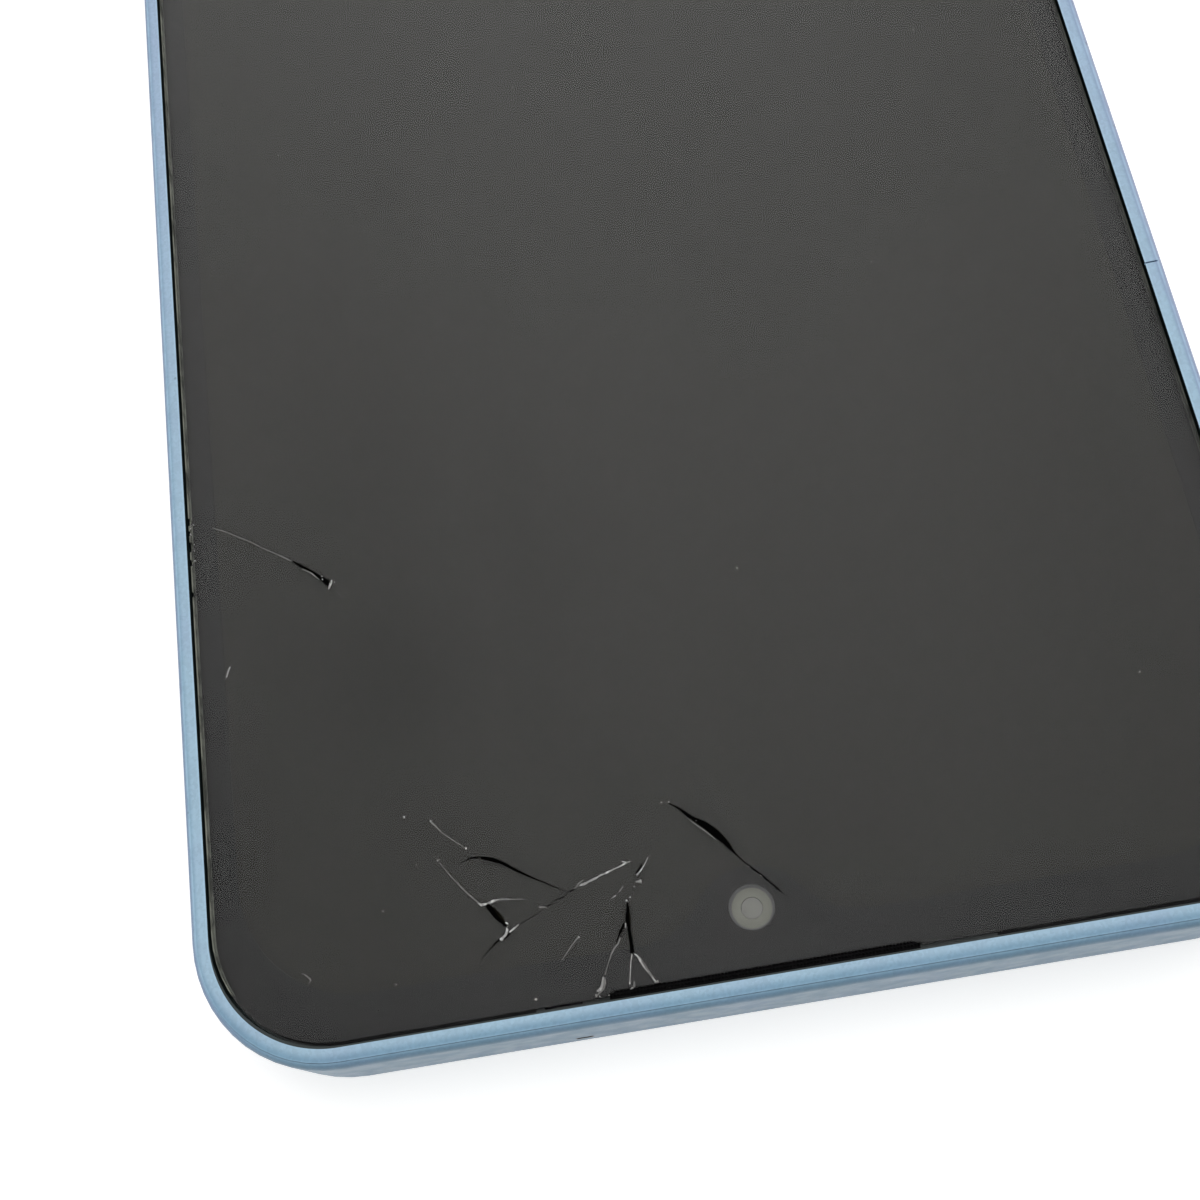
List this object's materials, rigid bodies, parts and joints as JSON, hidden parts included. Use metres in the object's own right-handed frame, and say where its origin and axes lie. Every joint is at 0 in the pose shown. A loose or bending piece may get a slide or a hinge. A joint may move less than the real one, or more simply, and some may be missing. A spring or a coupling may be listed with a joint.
{
  "type": "cracked touch-screen phone",
  "caption": "Light blue touch-screen phone lying face up, its front glass cracked by the earpiece and at one side, with working keys and card tray.",
  "frame": {"origin": "middle of the back face that the phone lies on", "axes": "+Z out of the screen, +Y along the length to the earpiece end, +X to the right-hand side with the keys, seen from the front"},
  "size_m": [0.0768, 0.166, 0.0088],
  "materials": {
    "frame_paint": "satin pearl light blue",
    "cover_paint": "satin pearl light blue",
    "front_glass": "polished, cracked",
    "black_ink": "printed",
    "black_tape": "matt",
    "screen_black": "dark, switched off",
    "backlight_film": "white film",
    "amber_flex": "amber film",
    "black_mesh": "fine mesh",
    "black_plastic": "moulded",
    "camera_black": "moulded",
    "lens_grey": "hazy",
    "pale_gasket": "soft",
    "sensor_violet": "dark violet",
    "gold_can": "plated",
    "board_green": "solder mask",
    "bright_steel": "bright",
    "chip_black": "moulded",
    "window_black": "black backed",
    "ring_metal": "turned",
    "lens_glass": "coated",
    "led_yellow": "phosphor",
    "flash_clear": "moulded clear",
    "battery_wrap": "foil wrap",
    "pull_tape": "stretch tape",
    "cable_black": "jacket",
    "screw_steel": "dark plated"
  },
  "bodies": {
    "phone": {"mid_frame": "frame_paint", "back_cover": "cover_paint", "cover_glass": "front_glass", "rear_camera_window": "window_black", "camera_rings": "ring_metal", "usb_port": "bright_steel", "headphone_jack": "black_plastic", "border_print": "black_ink", "display_adhesive": "black_tape", "display_panel": "screen_black", "backlight_unit": "backlight_film", "display_flex": "amber_flex", "earpiece_mesh": "black_mesh", "earpiece_speaker": "black_plastic", "front_camera": "camera_black", "front_camera_lens": "lens_grey", "camera_gasket": "pale_gasket", "proximity_sensor": "sensor_violet", "top_microphone": "gold_can", "main_board": "board_green", "front_shield_can": "bright_steel", "rear_shield_can": "bright_steel", "processor_chip": "chip_black", "memory_chip": "chip_black", "sim_reader": "bright_steel", "key_flex": "amber_flex", "rear_camera_main": "camera_black", "rear_camera_second": "camera_black", "camera_lens_covers": "lens_glass", "flash_led": "led_yellow", "flash_lens": "flash_clear", "upper_bracket": "black_plastic", "battery": "battery_wrap", "battery_adhesive": "pull_tape", "battery_lead": "amber_flex", "main_flex": "amber_flex", "antenna_cable": "cable_black", "sub_board": "board_green", "loudspeaker": "black_plastic", "speaker_mesh": "black_mesh", "vibration_motor": "bright_steel", "bottom_microphone": "gold_can", "screws": "screw_steel"},
    "sim_tray": {"sim_tray": "cover_paint"},
    "power_key": {"power_key": "cover_paint"},
    "volume_key": {"volume_key": "cover_paint"}
  },
  "joints": [
    {"name": "sim_tray_slide", "type": "slide", "parent": "phone", "child": "sim_tray", "axis": [-1, 0, 0], "range_m": [0, 0.024]},
    {"name": "power_key_press", "type": "slide", "parent": "phone", "child": "power_key", "axis": [-1, 0, 0], "range_m": [0, 0.00025], "stiffness_N_per_m": 3000},
    {"name": "volume_key_rock", "type": "hinge", "parent": "phone", "child": "volume_key", "pos_m": [0.03675, 0.042, 0.00385], "axis": [0, 0, 1], "range_deg": [-0.8, 0.8], "stiffness_Nm_per_rad": 0.8}
  ]
}
